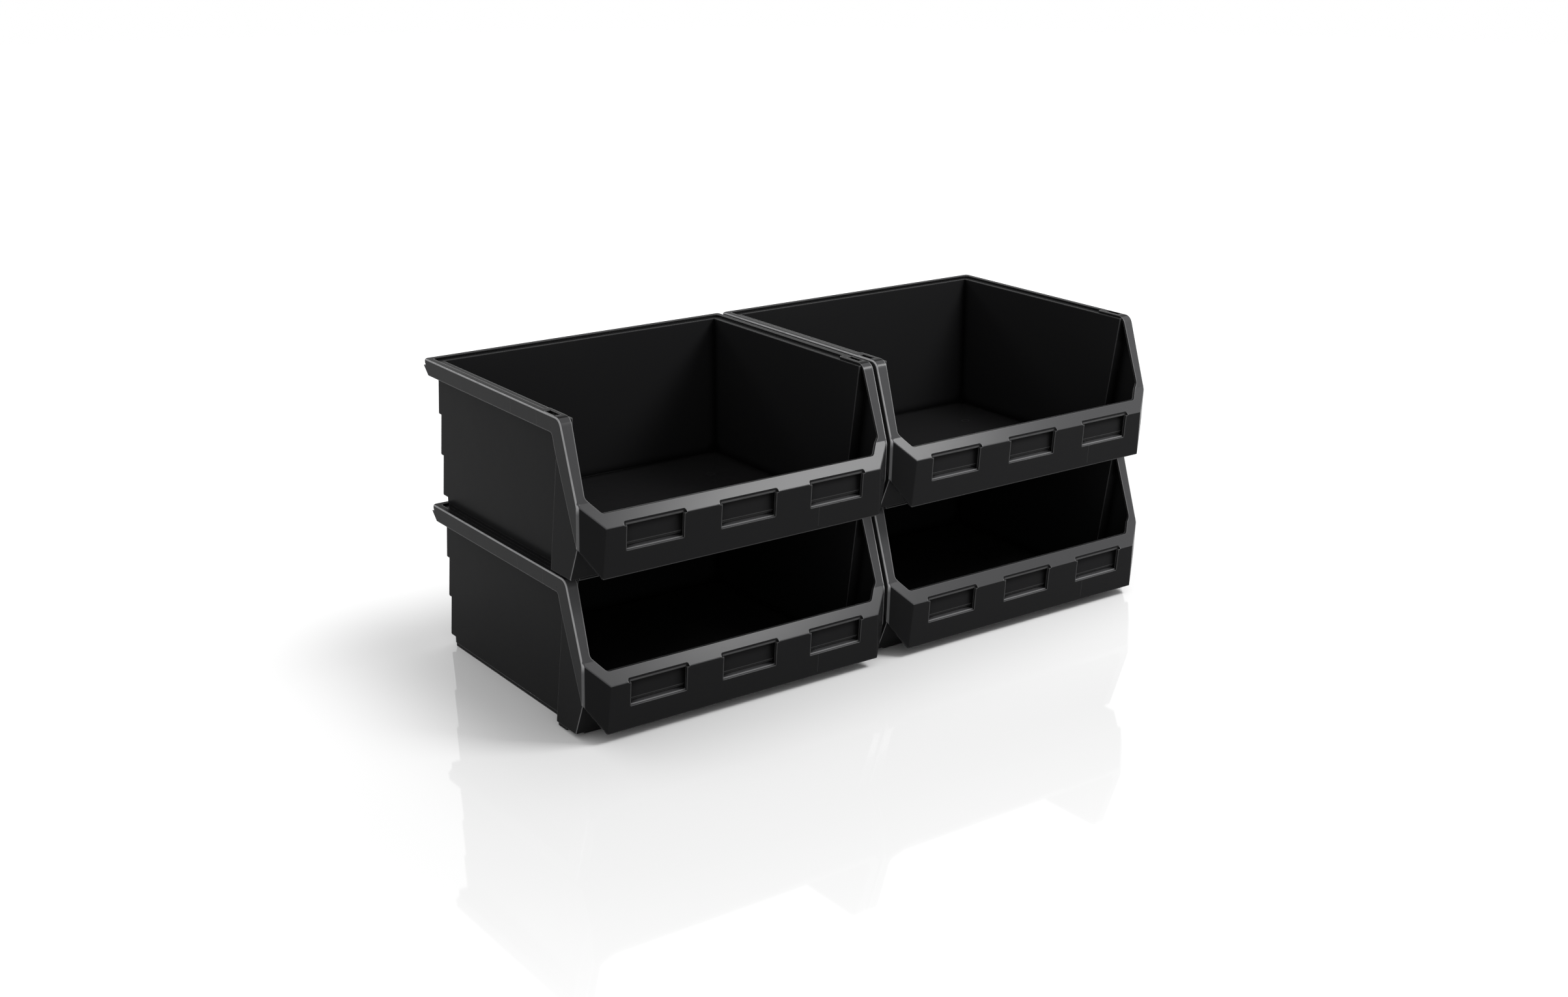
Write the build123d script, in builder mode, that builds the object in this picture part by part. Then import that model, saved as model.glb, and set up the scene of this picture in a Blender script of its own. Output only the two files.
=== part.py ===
from build123d import *
import os

os.makedirs("parts", exist_ok=True)

# A set of four identical open-front storage bins, stacked two high in two columns.
# One bin is drawn first: x across with 0 in the middle, y back from the front face,
# z up from the floor. All sizes are in millimetres.

# Overall size of one bin
bin_width = 419.0
bin_depth = 375.0
bin_height = 184.0

# Sheet thicknesses of the moulding
wall = 3.0
floor_thickness = 3.5
skirt_thickness = 3.0

# Rim, ledge that carries the next bin, and hanging skirt
rim_width = 8.0
rim_step = 2.5
flange_thickness = 3.0
skirt_drop = 19.0
rim_corner_radius = 5.0
rim_inner_radius = 6.0

# Tub
tub_inset = 15.0
tub_front = 50.0
rear_inset = 14.0
plinth_height = 4.5
plinth_inset = 0.6
plinth_front = 46.0

# Flared front part beside and in front of the tub
flare_inset = 0.8
flare_bottom = 5.0
crease_bottom = 83.0
crease_behind_bend = 4.8

# Side edge of the opening, from its bend at the rim down to its corner, given as (y, z)
side_bend_y = 50.0
side_bend_radius = 12.0
side_corner = (20.0, 96.0)

# Front panel, given as (y, z), and how far its ends stand in from the sides
front_top = (0.0, 70.0)
front_bottom = (5.0, 12.0)
front_top_inset = 25.0
front_bottom_inset = 22.0

# Inner front wall that leans forward from the floor
inner_front_y = 40.0
inner_front_lean = 0.44

# Sloping band round the opening
band_front_width = 17.5
band_side_top_width = 14.5
band_side_low_width = 12.0
band_side_low_rise = 5.0
band_corner_inset = 27.0
band_low_radius = 7.0
band_high_radius = 8.0

# Skirt strip that follows the side edge down to the front corner
strip_upper_y = 67.0
strip_middle_y = 61.0
strip_middle_drop = 20.0
strip_tip_height = 46.0
strip_radius = 5.0
skirt_rear_cut = 11.0

# Lip that hangs at the back of the rim
lip_drop = 22.0
lip_end_inset = 6.0

# Pads and notches that lock the feet of the bin above
pad_rear = 96.0
notch_outer_inset = 3.0
notch_inner_inset = 10.0
notch_front = 64.0
notch_rear = 86.0
foot_clearance = 0.5

# Overlapping ribs across the rear wall
rib_count = 3
rib_bottom = 12.0
rib_pitch = 51.0
rib_top_depth = 5.5
rib_tip_depth = 12.0
rib_thickness = 2.4
rib_tip_radius = 1.6

# Label pockets in the front panel
pocket_pitch = 122.5
pocket_width = 73.0
pocket_depth = 8.0
pocket_sill_front = 40.0
pocket_sill_back = 44.0
pocket_slot_top = 47.0
pocket_slot_extra = 2.0
pocket_notch_margin = 3.2
pocket_notch_depth = 3.1
pocket_notch_drop = 0.5
pocket_notch_radius = 2.5

# Rounded edges
outer_edge_radius = 2.2
flare_edge_radius = 1.2

# Arrangement of the four bins
column_gap = 5.0

# How far a cut runs past the solid, and how near a point on a surface is
beyond = 30.0
small = 0.03

half_width = bin_width / 2
ledge_height = bin_height - rim_step
flange_bottom = ledge_height - flange_thickness
skirt_bottom = bin_height - skirt_drop
lip_bottom = bin_height - lip_drop
rear_wall_outer = bin_depth - rear_inset
rib_top_y = rear_wall_outer + rib_top_depth
rib_tip_y = rear_wall_outer + rib_tip_depth
notch_outer_x = half_width - notch_outer_inset
notch_inner_x = half_width - notch_inner_inset
foot_outer_x = notch_outer_x - foot_clearance
foot_inner_x = notch_inner_x + foot_clearance
foot_front = notch_front + 2 * foot_clearance
side_bend = (side_bend_y, bin_height)


def line_through(first, second, shift=0.0):
    """Straight line y = a + b z through two (y, z) points, moved back square to itself."""
    b = (second[0] - first[0]) / (second[1] - first[1])
    a = first[0] - b * first[1]
    return a + shift * (1 + b * b) ** 0.5, b


def leaning_line(foot, lean, shift=0.0):
    """Straight line y = a + b z that leans forward from its foot, moved back square to itself."""
    return foot[0] + lean * foot[1] + shift * (1 + lean * lean) ** 0.5, -lean


def at_height(line, z):
    """Point of the line at height z."""
    return line[0] + line[1] * z, z


def height_at(line, y):
    """Height at which the line reaches y."""
    return (y - line[0]) / line[1]


def crossing(first, second):
    """Point where two lines meet."""
    return at_height(first, (second[0] - first[0]) / (first[1] - second[1]))


front_face = line_through(front_top, front_bottom)
front_back = line_through(front_top, front_bottom, wall)
low_slope = line_through(front_top, side_corner)
high_slope = line_through(side_corner, side_bend)
low_slope_under = line_through(front_top, side_corner, wall)
high_slope_under = line_through(side_corner, side_bend, wall)
inner_front_foot = (inner_front_y, flare_bottom)
inner_front_outer = leaning_line(inner_front_foot, inner_front_lean)
inner_front_inner = leaning_line(inner_front_foot, inner_front_lean, wall)
crease_foot = (crease_bottom, flare_bottom)
crease_top = (side_bend_y + crease_behind_bend, ledge_height)
crease = line_through(crease_top, crease_foot)
crease_inner = line_through(crease_top, crease_foot, -wall)
flange_end = at_height(crease_inner, flange_bottom)[0]
housing_back = pocket_depth + pocket_slot_extra + wall / 2
housing_base = pocket_sill_front - wall
pocket_places = (-pocket_pitch, 0.0, pocket_pitch)
rib_bottoms = [rib_bottom + rib_pitch * number for number in range(rib_count)]
rib_tops = rib_bottoms[1:] + [flange_bottom]


def outline(*points, mode=Mode.ADD):
    """Fill the closed straight-sided outline through the points."""
    return Polygon(*points, align=None, mode=mode)


def corner_of(sketch, point):
    """Corner of a sketch nearest to a point given in the sketch's own axes."""
    return sketch.vertices().sort_by_distance((*point, 0))[0]


def corner_plane(side, inset):
    """Plane of the angled front corner, facing outward and moved in by the inset."""
    high = Vector(side * half_width, *side_corner)
    top = Vector(side * (half_width - front_top_inset), *front_top)
    low = Vector(side * (half_width - front_bottom_inset), *front_bottom)
    outward = (top - high).cross(low - high).normalized()
    if outward.Y > 0:
        outward = outward * -1
    return Plane(origin=high - outward * inset, z_dir=outward)


def surfaces_under(edge, surfaces):
    """How many of the surfaces the whole edge lies on."""
    points = [edge.position_at(t) for t in (0.0, 0.5, 1.0)]
    return sum(all(abs(gap(point)) < small for point in points) for gap in surfaces)


def off_line(line, point):
    """How far back a point is from a line drawn in the y-z plane."""
    return point.Y - at_height(line, point.Z)[0]


def off_side(point):
    """How far outside the side walls a point is."""
    return abs(point.X) - half_width


def off_slopes(point):
    """How far a point is from the two slopes of the opening's edge."""
    return min(abs(off_line(low_slope, point)), abs(off_line(high_slope, point)))


def off_corner(point):
    """How far a point is from the angled corner on its own side."""
    side = 1 if point.X > 0 else -1
    return corner_plane(side, 0.0).to_local_coords(point).Z


outer_surfaces = (
    off_side,
    lambda point: point.Y - bin_depth,
    lambda point: point.Z - bin_height,
    lambda point: off_line(front_face, point),
    off_slopes,
    off_corner,
)
seam_surfaces = (off_side, off_corner)
flare_surfaces = (
    lambda point: off_side(point) + flare_inset,
    lambda point: min(abs(point.Z - flare_bottom), abs(off_line(crease, point))),
)


# Space above the sloping side edge and the band
with BuildPart() as above_slopes:
    with BuildSketch(Plane.YZ) as slope_side:
        far_front = -beyond
        outline(
            (far_front, height_at(low_slope, far_front)),
            side_corner,
            side_bend,
            (side_bend[0] + beyond, bin_height),
            (side_bend[0] + beyond, bin_height + beyond),
            (far_front, bin_height + beyond),
        )
        fillet(corner_of(slope_side, side_bend), side_bend_radius)
    extrude(amount=half_width + beyond, both=True)

# Inside of the flared front part
with BuildPart() as front_cavity:
    with BuildSketch(Plane.YZ):
        outline(
            at_height(inner_front_inner, flare_bottom + wall),
            crossing(inner_front_inner, low_slope_under),
            crossing(low_slope_under, high_slope_under),
            at_height(high_slope_under, flange_bottom),
            at_height(crease_inner, flange_bottom),
            at_height(crease_inner, flare_bottom + wall),
        )
    extrude(amount=half_width - flare_inset - wall, both=True)
    for side in (-1, 1):
        split(bisect_by=corner_plane(side, wall), keep=Keep.BOTTOM)

# Space between the front panel and the leaning inner wall, open downward
with BuildPart() as front_void:
    with BuildSketch(Plane.YZ):
        outline(
            at_height(front_back, -beyond),
            crossing(front_back, low_slope_under),
            crossing(low_slope_under, inner_front_outer),
            at_height(inner_front_outer, -beyond),
        )
    extrude(amount=half_width, both=True)
    for side in (-1, 1):
        split(bisect_by=corner_plane(side, wall), keep=Keep.BOTTOM)

# Space under the lower edge of the front panel, which rises on the angled corners
edge_rise = (strip_tip_height - front_bottom[1]) / (front_bottom_inset - flare_inset)
corner_x = half_width - front_bottom_inset
outer_z = front_bottom[1] + edge_rise * (half_width + beyond - corner_x)
with BuildPart() as under_panel:
    with BuildSketch(Plane.XZ.offset(beyond)):
        outline(
            (-half_width - beyond, outer_z),
            (-corner_x, front_bottom[1]),
            (corner_x, front_bottom[1]),
            (half_width + beyond, outer_z),
            (half_width + beyond, -beyond),
            (-half_width - beyond, -beyond),
        )
    extrude(amount=-(beyond + tub_front))
    lean_plane = Plane(origin=(0, *inner_front_foot), z_dir=(0, 1, inner_front_lean))
    split(bisect_by=lean_plane, keep=Keep.BOTTOM)

# Opening inside the sloping band
slope_length = ((side_corner[0] - front_top[0]) ** 2 + (side_corner[1] - front_top[1]) ** 2) ** 0.5
band_inner_z = front_top[1] + band_front_width * (side_corner[1] - front_top[1]) / slope_length
with BuildPart() as band_opening:
    with BuildSketch(Plane.XZ.offset(beyond)) as band_window:
        high = (half_width - band_side_low_width, side_corner[1] + band_side_low_rise)
        low = (half_width - band_corner_inset, band_inner_z)
        top = (half_width - band_side_top_width, bin_height)
        outline(
            (-top[0], bin_height + beyond),
            (-top[0], top[1]),
            (-high[0], high[1]),
            (-low[0], low[1]),
            low,
            high,
            top,
            (top[0], bin_height + beyond),
        )
        for side in (-1, 1):
            fillet(corner_of(band_window, (side * low[0], low[1])), band_low_radius)
            fillet(corner_of(band_window, (side * high[0], high[1])), band_high_radius)
    extrude(amount=-(beyond + flange_end))

# One bin, built up from its outer volumes and then hollowed
with BuildPart() as one_bin:
    # Flared front part
    with BuildSketch(Plane.YZ):
        outline(
            inner_front_foot,
            at_height(front_face, flare_bottom),
            at_height(front_face, ledge_height),
            at_height(crease, ledge_height),
            crease_foot,
        )
    extrude(amount=half_width - flare_inset, both=True)
    # Tub and the plinth it stands on
    with BuildSketch(Plane.XY.offset(plinth_height)):
        outline(
            (-half_width + tub_inset, tub_front),
            (half_width - tub_inset, tub_front),
            (half_width - tub_inset, rear_wall_outer),
            (-half_width + tub_inset, rear_wall_outer),
        )
    extrude(amount=flange_bottom - plinth_height)
    plinth_x = half_width - tub_inset - plinth_inset
    with BuildSketch(Plane.XY):
        outline(
            (-plinth_x, plinth_front),
            (plinth_x, plinth_front),
            (plinth_x, rear_wall_outer - plinth_inset),
            (-plinth_x, rear_wall_outer - plinth_inset),
        )
    extrude(amount=plinth_height + wall)
    # Overlapping ribs of the rear wall
    for tip_z, top_z in zip(rib_bottoms, rib_tops):
        with BuildSketch(Plane.YZ) as rib_side:
            outline(
                (rear_wall_outer - wall, top_z),
                (rib_top_y, top_z),
                (rib_tip_y, tip_z),
                (rear_wall_outer - wall, tip_z),
            )
            fillet(corner_of(rib_side, (rib_tip_y, tip_z)), rib_tip_radius)
        extrude(amount=half_width - tub_inset, both=True)
    # Flange of the rim, which carries the next bin
    with BuildSketch(Plane.XY.offset(flange_bottom)) as flange_plan:
        outline(
            (-half_width, 0),
            (half_width, 0),
            (half_width, bin_depth),
            (-half_width, bin_depth),
        )
        fillet(flange_plan.vertices().group_by(Axis.Y)[-1], rim_corner_radius)
    extrude(amount=flange_thickness)
    # Raised outer rim, with a wider pad near the front
    with BuildSketch(Plane.XY.offset(ledge_height)) as rim_plan:
        outline(
            (-half_width, 0),
            (half_width, 0),
            (half_width, bin_depth),
            (-half_width, bin_depth),
        )
        fillet(rim_plan.vertices().group_by(Axis.Y)[-1], rim_corner_radius)
        outline(
            (-half_width + rim_width, pad_rear),
            (-half_width + rim_width, bin_depth - rim_width),
            (half_width - rim_width, bin_depth - rim_width),
            (half_width - rim_width, pad_rear),
            (half_width - band_side_top_width, pad_rear),
            (half_width - band_side_top_width, 0),
            (-half_width + band_side_top_width, 0),
            (-half_width + band_side_top_width, pad_rear),
            mode=Mode.SUBTRACT,
        )
        for side in (-1, 1):
            rim_corner = (side * (half_width - rim_width), bin_depth - rim_width)
            pad_corner = (side * (half_width - band_side_top_width), pad_rear)
            fillet(corner_of(rim_plan, rim_corner), rim_inner_radius)
            fillet(corner_of(rim_plan, pad_corner), wall)
            # Notch in the pad, which takes a foot of the bin above
            outline(
                (side * notch_outer_x, notch_front),
                (side * notch_inner_x, notch_front),
                (side * notch_inner_x, notch_rear),
                (side * notch_outer_x, notch_rear),
                mode=Mode.SUBTRACT,
            )
    extrude(amount=rim_step)
    # Skirt along each side and its strip down the side edge
    for side in (-1, 1):
        with BuildSketch(Plane.YZ.offset(side * (half_width - skirt_thickness / 2))) as skirt_side:
            outline(
                (bin_depth - skirt_rear_cut, skirt_bottom),
                (bin_depth, skirt_bottom + skirt_rear_cut),
                (bin_depth - rim_corner_radius, skirt_bottom + skirt_rear_cut),
                (bin_depth - rim_corner_radius, ledge_height),
                (0, ledge_height),
                (0, strip_tip_height),
                at_height(inner_front_outer, strip_tip_height),
                (strip_middle_y, skirt_bottom - strip_middle_drop),
                (strip_upper_y, skirt_bottom),
            )
            fillet(corner_of(skirt_side, (strip_upper_y, skirt_bottom)), strip_radius)
        extrude(amount=skirt_thickness / 2, both=True)
    # Hanging lip along the back of the rim
    with BuildSketch(Plane.XY.offset(lip_bottom)):
        outline(
            (-half_width + lip_end_inset, bin_depth - skirt_thickness),
            (half_width - lip_end_inset, bin_depth - skirt_thickness),
            (half_width - lip_end_inset, bin_depth),
            (-half_width + lip_end_inset, bin_depth),
        )
    extrude(amount=ledge_height - lip_bottom)
    # Shape of the opening's outer edge and the angled corners
    add(above_slopes.part, mode=Mode.SUBTRACT)
    for side in (-1, 1):
        split(bisect_by=corner_plane(side, 0.0), keep=Keep.BOTTOM)

    # Space behind and below the front panel
    add(front_void.part, mode=Mode.SUBTRACT)
    add(under_panel.part, mode=Mode.SUBTRACT)
    # Housings behind the label pockets
    for pocket_x in pocket_places:
        with BuildSketch(Plane.YZ.offset(pocket_x)):
            outline(
                at_height(front_back, housing_base),
                (pocket_notch_depth, height_at(low_slope_under, pocket_notch_depth)),
                (housing_back, height_at(low_slope_under, housing_back)),
                (housing_back, housing_base + wall),
            )
        extrude(amount=pocket_width / 2 + wall, both=True)
    # Hollow of the tub, hollow of the flared front, and the opening inside the band
    tub_x = half_width - tub_inset - wall
    with BuildSketch(Plane.XY.offset(floor_thickness)):
        outline(
            (-tub_x, plinth_front + wall),
            (tub_x, plinth_front + wall),
            (tub_x, rear_wall_outer - wall),
            (-tub_x, rear_wall_outer - wall),
        )
    extrude(amount=bin_height, mode=Mode.SUBTRACT)
    add(front_cavity.part, mode=Mode.SUBTRACT)
    add(band_opening.part, mode=Mode.SUBTRACT)
    # Recesses of the label pockets, with a card slot above a sloping sill
    for pocket_x in pocket_places:
        with BuildSketch(Plane.YZ.offset(pocket_x)):
            outline(
                (-beyond, pocket_sill_front),
                at_height(front_face, pocket_sill_front),
                (pocket_depth + pocket_slot_extra, pocket_sill_back),
                (pocket_depth + pocket_slot_extra, pocket_slot_top),
                (pocket_depth, pocket_slot_top),
                (pocket_depth, height_at(low_slope_under, pocket_depth)),
                (pocket_notch_depth, height_at(low_slope_under, pocket_notch_depth)),
                (pocket_notch_depth, front_top[1] + beyond),
                (-beyond, front_top[1] + beyond),
            )
        extrude(amount=pocket_width / 2, both=True, mode=Mode.SUBTRACT)
        notch_x = pocket_width / 2 + pocket_notch_margin
        with BuildSketch(Plane.XY.offset(front_top[1] - pocket_notch_drop)) as notch_plan:
            outline(
                (pocket_x - notch_x, -beyond),
                (pocket_x + notch_x, -beyond),
                (pocket_x + notch_x, pocket_notch_depth),
                (pocket_x - notch_x, pocket_notch_depth),
            )
            fillet(notch_plan.vertices().group_by(Axis.Y)[-1], pocket_notch_radius)
        extrude(amount=beyond, mode=Mode.SUBTRACT)
    # Hollow behind each rib of the rear wall
    for tip_z, top_z in zip(rib_bottoms, rib_tops):
        with BuildSketch(Plane.YZ):
            outline(
                (rear_wall_outer, tip_z),
                (rib_tip_y - rib_thickness, tip_z),
                (rib_top_y - rib_thickness, top_z - rib_thickness),
                (rear_wall_outer, top_z - rib_thickness),
            )
        extrude(amount=half_width - tub_inset - wall, both=True, mode=Mode.SUBTRACT)
    # Feet under the flared part, which stand in the notches of the bin below
    for side in (-1, 1):
        with BuildSketch(Plane.XY):
            outline(
                (side * foot_outer_x, foot_front),
                (side * foot_inner_x, foot_front),
                (side * foot_inner_x, crease_bottom),
                (side * foot_outer_x, crease_bottom),
            )
        extrude(amount=flare_bottom)
    # Rounded outer edges of the rim, the opening and the front panel
    outer_edges = one_bin.edges().filter_by(
        lambda edge: surfaces_under(edge, outer_surfaces) > 1
        and surfaces_under(edge, seam_surfaces) < 2
    )
    fillet(outer_edges, outer_edge_radius)
    # Side edges of the flared part, at the crease and along its bottom
    flare_edges = one_bin.edges().filter_by(lambda edge: surfaces_under(edge, flare_surfaces) > 1)
    fillet(flare_edges, flare_edge_radius)

# The four bins in place, with the upper ones resting on the ledges of the lower ones
bin_names = (
    ("lower_left_bin", -1, 0),
    ("lower_right_bin", 1, 0),
    ("upper_left_bin", -1, 1),
    ("upper_right_bin", 1, 1),
)
for bin_name, column, level in bin_names:
    place = (column * (bin_width + column_gap) / 2, -bin_depth / 2, level * ledge_height)
    with BuildPart() as placed:
        with Locations(place):
            add(one_bin.part)
    placed.part.label = bin_name
    export_step(placed.part, "parts/" + bin_name + ".step")
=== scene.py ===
import math

import bpy
import numpy as np
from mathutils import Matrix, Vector


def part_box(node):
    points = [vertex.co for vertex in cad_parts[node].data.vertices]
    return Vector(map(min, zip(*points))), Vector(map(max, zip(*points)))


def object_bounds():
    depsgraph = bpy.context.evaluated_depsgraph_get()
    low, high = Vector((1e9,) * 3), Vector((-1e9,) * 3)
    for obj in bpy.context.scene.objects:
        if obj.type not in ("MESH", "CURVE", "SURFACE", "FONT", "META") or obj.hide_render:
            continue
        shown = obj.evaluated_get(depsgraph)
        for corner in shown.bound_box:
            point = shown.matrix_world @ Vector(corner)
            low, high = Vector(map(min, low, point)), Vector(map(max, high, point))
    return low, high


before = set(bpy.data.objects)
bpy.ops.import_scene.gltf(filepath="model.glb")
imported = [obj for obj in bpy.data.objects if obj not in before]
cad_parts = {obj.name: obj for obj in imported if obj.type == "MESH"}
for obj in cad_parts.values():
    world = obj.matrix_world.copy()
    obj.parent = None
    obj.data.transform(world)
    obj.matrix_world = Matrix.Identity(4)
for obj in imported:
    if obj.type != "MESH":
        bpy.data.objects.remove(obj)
cad_low, cad_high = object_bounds()

MM = 0.001

# Camera, fitted to the corners of the four bins in the photograph; angles in degrees
CAMERA_AZIMUTH = -35.57
CAMERA_ELEVATION = 18.16
CAMERA_DISTANCE = 2.429
CAMERA_TARGET = (-0.038, -0.009, 0.170)
FOCAL_LENGTH = 44.85
SENSOR_WIDTH = 36.0

# Floor and backdrop. The floor turns white between two distances from the object, and the mirror
# image of the object fades out between two more
FLOOR_RADIUS = 9.0
FLOOR_POINTS = 96
FLOOR_BELOW = 0.2 * MM
FLOOR_COLOR = (0.88, 0.88, 0.88, 1.0)
FLOOR_ROUGHNESS = 0.04
FLOOR_SPECULAR = 0.45
WHITE_FROM = 0.02
WHITE_FULL = 0.24
REFLECTION_FROM = 0.15
REFLECTION_GONE = 0.62
BACKDROP_COLOR = (0.88, 0.88, 0.88, 1.0)
WHITE = (1.0, 1.0, 1.0, 1.0)
BLACK = (0.0, 0.0, 0.0, 1.0)

# Studio lights: place, the point each is aimed at, size, strength in watts; and how bright the
# white surroundings are as a light
KEY_PLACE = (0.67, -0.85, 1.18)
KEY_TARGET = (0.0, -0.15, 0.2)
KEY_SIZE = (0.60, 0.36)
KEY_POWER = 16.0
BACK_PLACE = (-0.95, 1.75, 1.40)
BACK_TARGET = (0.0, 0.0, 0.2)
BACK_SIZE = (1.9, 0.10)
BACK_POWER = 8.0
WORLD_LEVEL = 0.72

# Moulded plastic: colour of the walls, painted sheen of the skirt, painted shade in deep corners,
# painted sheen of the band, and the painted highlight of outer edges, which the mould's seams also
# lean towards
PLASTIC_COLOR = (0.0120, 0.0120, 0.0124, 1.0)
SKIRT_SHEEN_COLOR = (0.028, 0.028, 0.0285, 1.0)
RECESS_SHADE_COLOR = (0.0025, 0.0025, 0.0026, 1.0)
BAND_SHEEN_COLOR = (0.048, 0.048, 0.0495, 1.0)
HIGHLIGHT_AND_SEAM_COLOR = (0.34, 0.34, 0.345, 1.0)

# Roughness and gloss, and by how much they change over the surface
PLASTIC_ROUGHNESS = 0.22
UNEVEN_ROUGHNESS = 0.08
SKIRT_ROUGHNESS = 0.08
EDGE_POLISH = 0.05
PLASTIC_SPECULAR = 0.014
COAT_ROUGHNESS = 0.24
BAND_GLOSS = 0.25
SKIRT_GLOSS = 0.05
EDGE_GLOSS = 0.30

# How far each kind of edge goes towards the painted highlight colour, and how far the mould's
# seams go towards it
EDGE_HIGHLIGHT = 0.12
RIM_HIGHLIGHT = 0.55
BAND_EDGE_HIGHLIGHT = 0.34
ROUNDING_HIGHLIGHT = 0.95
LOW_ROUNDING_HIGHLIGHT = 0.3
SEAM_LIGHT = 0.05
RIM_SEAM_SHARE = 0.7

# Noise in the plastic: waves to a metre, detail and roughness
CLOUDS = (14.0, 3.0, 0.5)
PATCHES = (55.0, 4.0, 0.6)
GRAIN = (1500.0, 2.0, 0.6)
EDGE_PATCHES = (0.2, 0.6, 0.75, 1.0)

# Relief: strength and depth
GRAIN_RELIEF = (0.25, 0.12 * MM)
CLOUD_RELIEF = (0.35, 0.9 * MM)
SEAM_RELIEF = (0.6, 0.25 * MM)

# Edges are shaded as if rounded by the radius. Edges and recesses are found by how much free space
# a point has within the reach: the mask begins at the first share and is full at the second
NEARBY_SAMPLES = 8
EDGE_RADIUS = 1.8 * MM
EDGE_REACH = 1.7 * MM
EDGE_SPACE = (0.92, 0.58)
RECESS_REACH = 16.0 * MM
RECESS_SPACE = (0.92, 0.45)

# Parts of the normal where a mask begins and where it is full: the slopes with painted sheen face
# up and forward, and the rounding of the rim, with its painted highlight, turns from the side to
# the top or to the front
SLOPE_UP = (0.12, 0.28)
SLOPE_FORWARD = (-0.30, -0.45)
TURNING = (0.30, 0.90)
UP_OR_FORWARD = (0.0, 0.3)

# Places in one bin, where a mask begins and where it is full. X runs from the middle of the bin,
# y from its front, z from its underside
BIN_WIDTH = 419 * MM
BIN_DEPTH = 375 * MM
BIN_HEIGHT = 184 * MM
SKIRT_FACE = (BIN_WIDTH / 2 - 0.75 * MM, BIN_WIDTH / 2 - 0.3 * MM)
RIM_OUTSIDE = (BIN_WIDTH / 2 - 3.0 * MM, BIN_WIDTH / 2 - 2.0 * MM)
RIM_ACROSS = (BIN_WIDTH / 2 - 12 * MM, BIN_WIDTH / 2 - 10 * MM)
RIM_UP = (BIN_HEIGHT - 24 * MM, BIN_HEIGHT - 20 * MM)
ABOVE_CREASE = (84 * MM, 94 * MM)
FRONT_PANEL = (30 * MM, 20 * MM)
TUB_FLOOR = (9 * MM, 8 * MM)

# Marks of the mould in one bin: middle, half width and softness of each line
FRONT_SEAM = (98 * MM, 0.12 * MM, 0.25 * MM)
FRONT_SEAM_REACH = (31 * MM, 14 * MM, 1.5 * MM)
REAR_RIM_SEAM = (159 * MM, 0.12 * MM, 0.25 * MM)
FRONT_RIM_SEAM = (100 * MM, 0.12 * MM, 0.25 * MM)
PIN_ACROSS = 130 * MM
PIN_ALONG = 90 * MM
PIN_RING = (5.0 * MM, 0.12 * MM, 0.25 * MM)
GATE_RING = (3.0 * MM, 0.30 * MM, 0.30 * MM)


class Field:
    """A number inside a node tree; sums with it become Math nodes."""

    def __init__(self, nodes, socket):
        self.nodes = nodes
        self.socket = socket

    def math(self, operation, *others):
        return self.nodes.number("ShaderNodeMath", {"operation": operation}, self, *others)

    def __add__(self, other):
        return self.math("ADD", other)

    def __radd__(self, other):
        return self.math("ADD", other)

    def __sub__(self, other):
        return self.math("SUBTRACT", other)

    def __rsub__(self, other):
        return self.nodes.number("ShaderNodeMath", {"operation": "SUBTRACT"}, other, self)

    def __mul__(self, other):
        return self.math("MULTIPLY", other)

    def __rmul__(self, other):
        return self.math("MULTIPLY", other)

    def power(self, exponent):
        return self.math("POWER", exponent)

    def absolute(self):
        return self.math("ABSOLUTE")

    def most(self, other):
        return self.math("MAXIMUM", other)

    def ramp(self, start, end, low=0.0, high=1.0):
        """Goes smoothly from low at start to high at end."""
        node = self.nodes.add("ShaderNodeMapRange", {"interpolation_type": "SMOOTHSTEP"},
                              Value=self, From_Min=start, From_Max=end, To_Min=low, To_Max=high)
        return Field(self.nodes, node.outputs["Result"])


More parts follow.
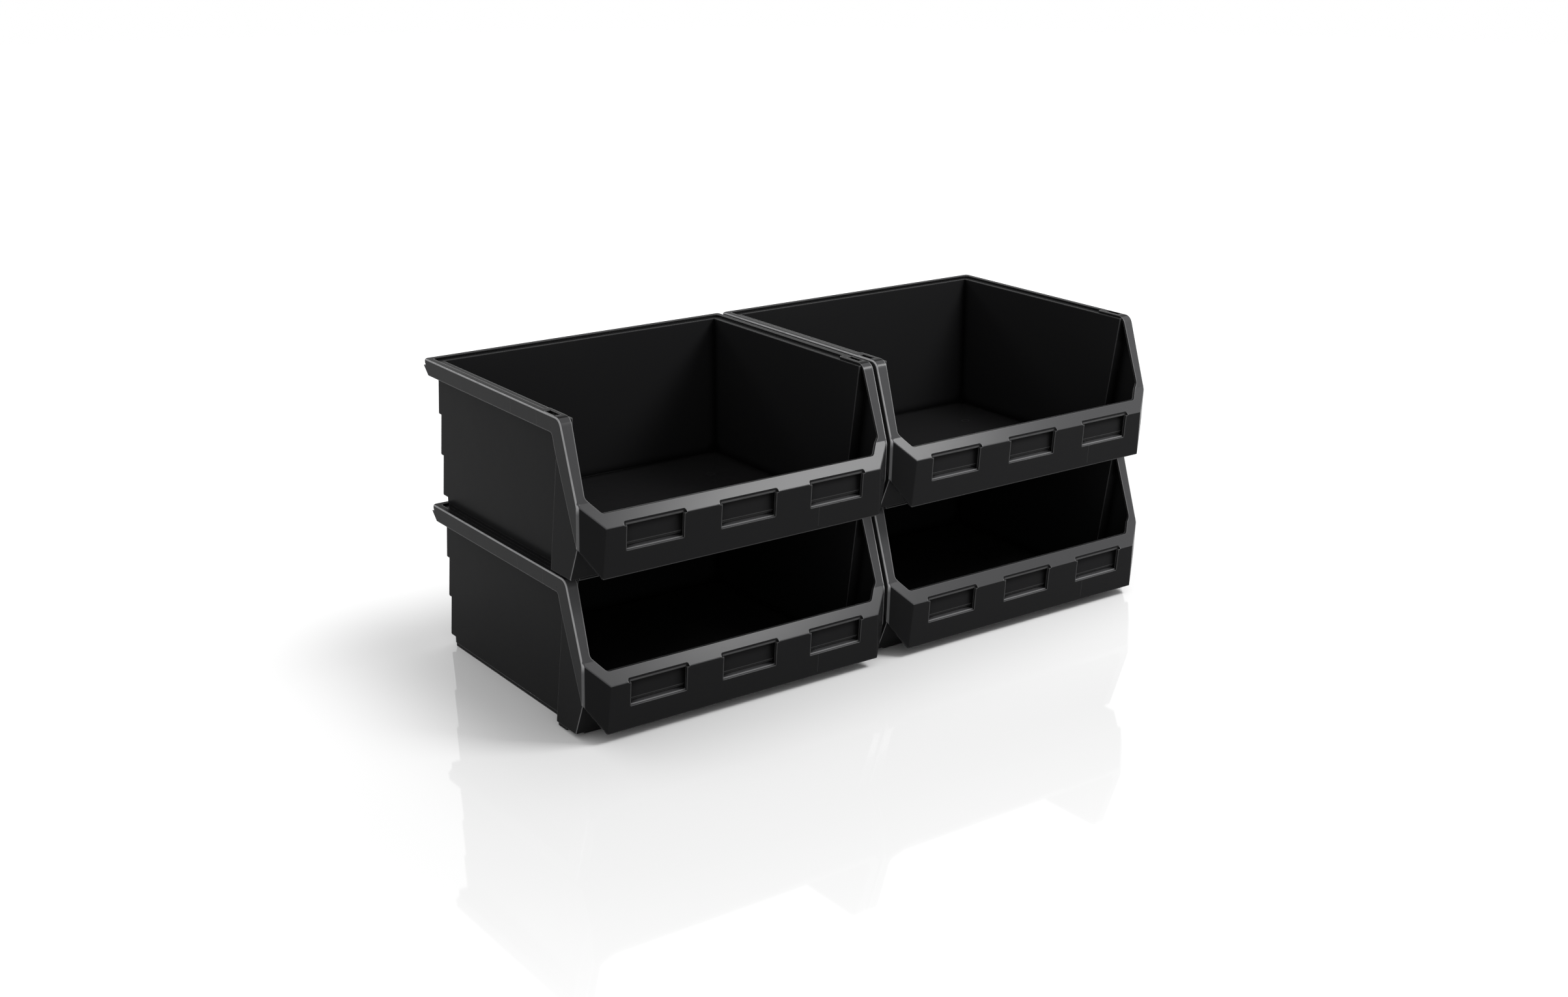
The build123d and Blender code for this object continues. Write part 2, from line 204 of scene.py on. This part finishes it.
class Nodes:
    """Adds nodes to one material or world."""

    def __init__(self, tree):
        self.tree = tree
        tree.nodes.clear()

    def add(self, kind, settings=None, **sockets):
        """One node of a kind: its settings first, then its sockets set or linked by name."""
        node = self.tree.nodes.new(kind)
        for name, value in (settings or {}).items():
            setattr(node, name, value)
        for name, value in sockets.items():
            self.feed(node.inputs[name.replace("_", " ")], value)
        return node

    def feed(self, socket, value):
        """Links a Field or a socket, and sets anything else as the socket's own value."""
        if isinstance(value, Field):
            self.tree.links.new(value.socket, socket)
        elif isinstance(value, bpy.types.NodeSocket):
            self.tree.links.new(value, socket)
        else:
            socket.default_value = value

    def number(self, kind, settings, *values):
        """A node that works out one number from its sockets, taken in order."""
        node = self.add(kind, settings)
        for socket, value in zip(node.inputs, values):
            self.feed(socket, value)
        return Field(self, node.outputs[0])

    def noise(self, place, scale, detail, roughness):
        """Smooth noise from 0 to 1, with the given number of waves to a metre."""
        node = self.add("ShaderNodeTexNoise", Vector=place, Scale=scale, Detail=detail,
                        Roughness=roughness)
        return Field(self, node.outputs[0])

    def free_space(self, reach, **settings):
        """The share of free space round a point on its own piece, up to the reach."""
        settings.update(samples=NEARBY_SAMPLES, only_local=True)
        node = self.add("ShaderNodeAmbientOcclusion", settings, Distance=reach)
        return Field(self, node.outputs["AO"])

    def relief(self, height, normal, strength, depth):
        """The normal, tilted by the slope of a height."""
        return self.add("ShaderNodeBump", Strength=strength, Distance=depth, Height=height,
                        Normal=normal).outputs[0]

    def line(self, along, middle, half_width, softness):
        """1 where a coordinate lies within half_width of the middle, with soft sides."""
        return (along - middle).absolute().ramp(half_width + softness, half_width)

    def part(self, vector, axis):
        """One coordinate of a vector."""
        return Field(self, self.add("ShaderNodeSeparateXYZ", Vector=vector).outputs[axis])

    def mix(self, factor, first, second):
        """Colour that goes from the first to the second as the factor goes from 0 to 1."""
        node = self.add("ShaderNodeMix", {"data_type": "RGBA"})
        self.feed(node.inputs[0], factor)
        self.feed(node.inputs[6], first)
        self.feed(node.inputs[7], second)
        return node.outputs[2]


def new_material(name):
    material = bpy.data.materials.new(name)
    material.use_nodes = True
    return material, Nodes(material.node_tree)


def length(first, second):
    """The root of the sum of two squares."""
    return (first.power(2.0) + second.power(2.0)).power(0.5)


def mould_marks(nodes, side, back, up):
    """Fine lines left by the mould: down the front panel, across the rim, round pins and gate."""
    across = side.absolute()
    down_panel = nodes.line(side, *FRONT_SEAM) * nodes.line(up, *FRONT_SEAM_REACH)
    down_panel = down_panel * back.ramp(*FRONT_PANEL)
    over_rim = nodes.line(back, *REAR_RIM_SEAM).most(nodes.line(back, *FRONT_RIM_SEAM))
    over_rim = over_rim * up.ramp(*RIM_UP) * across.ramp(*RIM_ACROSS)
    lengthwise = back - BIN_DEPTH / 2
    pins = nodes.line(length(across - PIN_ACROSS, lengthwise.absolute() - PIN_ALONG), *PIN_RING)
    gate = nodes.line(length(side, lengthwise), *GATE_RING)
    rings = pins.most(gate) * up.ramp(*TUB_FLOOR)
    return down_panel.most(over_rim * RIM_SEAM_SHARE).most(rings)


def rim_rounding_highlight(nodes, facing, rim, up):
    """A painted highlight on the rounding outside the rim, fullest halfway between facing sideways
    and up or forward.

    Its measure is the sine of twice the angle turned: twice the sideways part of the normal
    times the root of one less its square.
    """
    sideways = nodes.part(facing, "X").absolute()
    halfway = sideways * (1.0 - sideways.power(2.0)).most(0.0).power(0.5) * 2.0
    return halfway.ramp(*TURNING) * rim * up.ramp(*ABOVE_CREASE, LOW_ROUNDING_HIGHLIGHT,
                                                  ROUNDING_HIGHLIGHT)


def make_moulded_plastic(name, centre):
    """Black polypropylene: painted sheen on band and skirt, painted highlights on edges, painted
    shade in recesses, marks of the mould.

    The pattern is centred on one bin, so that the four bins are finished alike.
    """
    material, nodes = new_material(name)
    coordinates = nodes.add("ShaderNodeTexCoord").outputs
    place = nodes.add("ShaderNodeMapping", {"vector_type": "POINT"}, Vector=coordinates["Object"],
                      Location=(-centre[0], -centre[1], -centre[2])).outputs[0]
    facing = coordinates["Normal"]
    side = nodes.part(place, "X")
    back = nodes.part(place, "Y") + BIN_DEPTH / 2
    up = nodes.part(place, "Z")
    across = side.absolute()

    cloudy = nodes.noise(place, *CLOUDS)
    patchy = nodes.noise(place, *PATCHES)
    grain = nodes.noise(place, *GRAIN)
    seams = mould_marks(nodes, side, back, up)

    # Outer edges are where the plastic is thin seen from inside; recesses see little from outside
    edge = nodes.free_space(EDGE_REACH, inside=True).ramp(*EDGE_SPACE)
    recess_shade = nodes.free_space(RECESS_REACH).ramp(*RECESS_SPACE)

    # The skirt, and the slopes of the opening and of the sills, get their own roughness and gloss,
    # and a lighter colour that is a painted sheen
    skirt = across.ramp(*SKIRT_FACE)
    slope = nodes.part(facing, "Z").ramp(*SLOPE_UP) * nodes.part(facing, "Y").ramp(*SLOPE_FORWARD)
    sheen_and_shade = nodes.mix(slope, nodes.mix(skirt, PLASTIC_COLOR, SKIRT_SHEEN_COLOR), BAND_SHEEN_COLOR)
    # Painted shade: recesses go towards a near-black colour
    sheen_and_shade = nodes.mix(recess_shade, sheen_and_shade, RECESS_SHADE_COLOR)

    # Outer edges get a painted highlight, most of all along the rim and the band, broken into
    # patches; the mould's seams are slightly lighter too
    forward = (nodes.part(facing, "Z") - nodes.part(facing, "Y")).ramp(*UP_OR_FORWARD)
    rim = across.ramp(*RIM_OUTSIDE) * forward
    edge_highlight = edge * (EDGE_HIGHLIGHT + (rim * RIM_HIGHLIGHT).most(slope * BAND_EDGE_HIGHLIGHT))
    edge_highlight = edge_highlight.most(rim_rounding_highlight(nodes, facing, rim, up)) * patchy.ramp(*EDGE_PATCHES)
    colour = nodes.mix(edge_highlight.most(seams * SEAM_LIGHT), sheen_and_shade, HIGHLIGHT_AND_SEAM_COLOR)

    roughness = PLASTIC_ROUGHNESS + (cloudy + patchy - 1.0) * UNEVEN_ROUGHNESS
    roughness = roughness - edge * EDGE_POLISH + skirt * SKIRT_ROUGHNESS
    gloss = (slope * BAND_GLOSS).most(skirt * SKIRT_GLOSS).most(edge * EDGE_GLOSS)

    rounded = nodes.add("ShaderNodeBevel", {"samples": NEARBY_SAMPLES}, Radius=EDGE_RADIUS)
    normal = nodes.relief(grain, rounded.outputs[0], *GRAIN_RELIEF)
    normal = nodes.relief(cloudy, normal, *CLOUD_RELIEF)
    normal = nodes.relief(seams, normal, *SEAM_RELIEF)

    shader = nodes.add("ShaderNodeBsdfPrincipled", Base_Color=colour, Roughness=roughness,
                       Specular_IOR_Level=PLASTIC_SPECULAR, Coat_Weight=gloss,
                       Coat_Roughness=COAT_ROUGHNESS, Normal=normal)
    nodes.add("ShaderNodeOutputMaterial", Surface=shader.outputs[0])
    return material


def seen_rays(nodes):
    """1 for rays that show a thing: from the camera, in a reflection or through clear material."""
    rays = nodes.add("ShaderNodeLightPath").outputs
    seen = Field(nodes, rays["Is Camera Ray"]).most(Field(nodes, rays["Is Transmission Ray"]))
    return seen.most(Field(nodes, rays["Is Glossy Ray"]))


def make_floor_material():
    """Pale polished floor that takes the object's shadow, and turns white away from the object.

    The distance is that from the rectangle the object stands on: the length of how far a point
    lies outside it along x and along y.
    """
    material, nodes = new_material("pale_floor")
    here = nodes.add("ShaderNodeTexCoord").outputs["Object"]
    beside = (nodes.part(here, "X").absolute() - cad_high[0]).most(0.0)
    before = (nodes.part(here, "Y").absolute() - cad_high[1]).most(0.0)
    away = length(beside, before)
    white = away.ramp(WHITE_FROM, WHITE_FULL) * seen_rays(nodes)
    backdrop = nodes.mix(away.ramp(REFLECTION_FROM, REFLECTION_GONE), BACKDROP_COLOR, WHITE)
    shader = nodes.add("ShaderNodeBsdfPrincipled", Roughness=FLOOR_ROUGHNESS,
                       Base_Color=nodes.mix(white, FLOOR_COLOR, BLACK),
                       Specular_IOR_Level=FLOOR_SPECULAR, Emission_Strength=1.0,
                       Emission_Color=nodes.mix(white, BLACK, backdrop))
    nodes.add("ShaderNodeOutputMaterial", Surface=shader.outputs[0])
    return material


def make_floor():
    """Round flat floor: a ring of points at equal angles, one face."""
    turns = np.linspace(0.0, 2.0 * np.pi, FLOOR_POINTS, endpoint=False)
    points = np.stack([FLOOR_RADIUS * np.cos(turns), FLOOR_RADIUS * np.sin(turns),
                       np.full_like(turns, -FLOOR_BELOW)], axis=1)
    mesh = bpy.data.meshes.new("floor")
    mesh.from_pydata(points.tolist(), [], [list(range(FLOOR_POINTS))])
    mesh.materials.append(make_floor_material())
    floor = bpy.data.objects.new("floor", mesh)
    bpy.context.scene.collection.objects.link(floor)


def make_world():
    """White surroundings: full white where they are seen, softer as a light."""
    world = bpy.data.worlds.new("studio")
    bpy.context.scene.world = world
    world.use_nodes = True
    nodes = Nodes(world.node_tree)
    strength = seen_rays(nodes) * (1.0 - WORLD_LEVEL) + WORLD_LEVEL
    background = nodes.add("ShaderNodeBackground", Color=WHITE, Strength=strength)
    nodes.add("ShaderNodeOutputWorld", Surface=background.outputs[0])


def aim(thing, place, target):
    """Puts a camera or lamp at a place, looking at the target."""
    thing.location = place
    direction = Vector(target) - Vector(place)
    thing.rotation_euler = direction.to_track_quat("-Z", "Y").to_euler()


def make_softbox(name, place, target, size, power):
    lamp = bpy.data.lights.new(name, "AREA")
    lamp.shape = "RECTANGLE"
    lamp.size, lamp.size_y = size
    lamp.energy = power
    lamp_object = bpy.data.objects.new(name, lamp)
    bpy.context.scene.collection.objects.link(lamp_object)
    aim(lamp_object, place, target)


def direction_at(azimuth, elevation):
    """Unit vector from the object: azimuth 0 is the front, 90 the right side; both in degrees."""
    turn = math.radians(azimuth)
    lift = math.radians(elevation)
    return Vector((math.sin(turn) * math.cos(lift), -math.cos(turn) * math.cos(lift),
                   math.sin(lift)))


def make_camera():
    data = bpy.data.cameras.new("camera")
    data.lens = FOCAL_LENGTH
    data.sensor_width = SENSOR_WIDTH
    data.sensor_fit = "HORIZONTAL"
    camera = bpy.data.objects.new("camera", data)
    bpy.context.scene.collection.objects.link(camera)
    away = direction_at(CAMERA_AZIMUTH, CAMERA_ELEVATION) * CAMERA_DISTANCE
    aim(camera, Vector(CAMERA_TARGET) + away, CAMERA_TARGET)
    bpy.context.scene.camera = camera


make_camera()
make_world()
make_floor()
make_softbox("key_softbox", KEY_PLACE, KEY_TARGET, KEY_SIZE, KEY_POWER)
make_softbox("back_softbox", BACK_PLACE, BACK_TARGET, BACK_SIZE, BACK_POWER)

for name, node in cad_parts.items():
    low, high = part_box(name)
    centre = ((low.x + high.x) / 2, (low.y + high.y) / 2, low.z)
    node.data.materials.clear()
    node.data.materials.append(make_moulded_plastic("plastic_" + name, centre))

bpy.context.scene.view_settings.view_transform = "Standard"
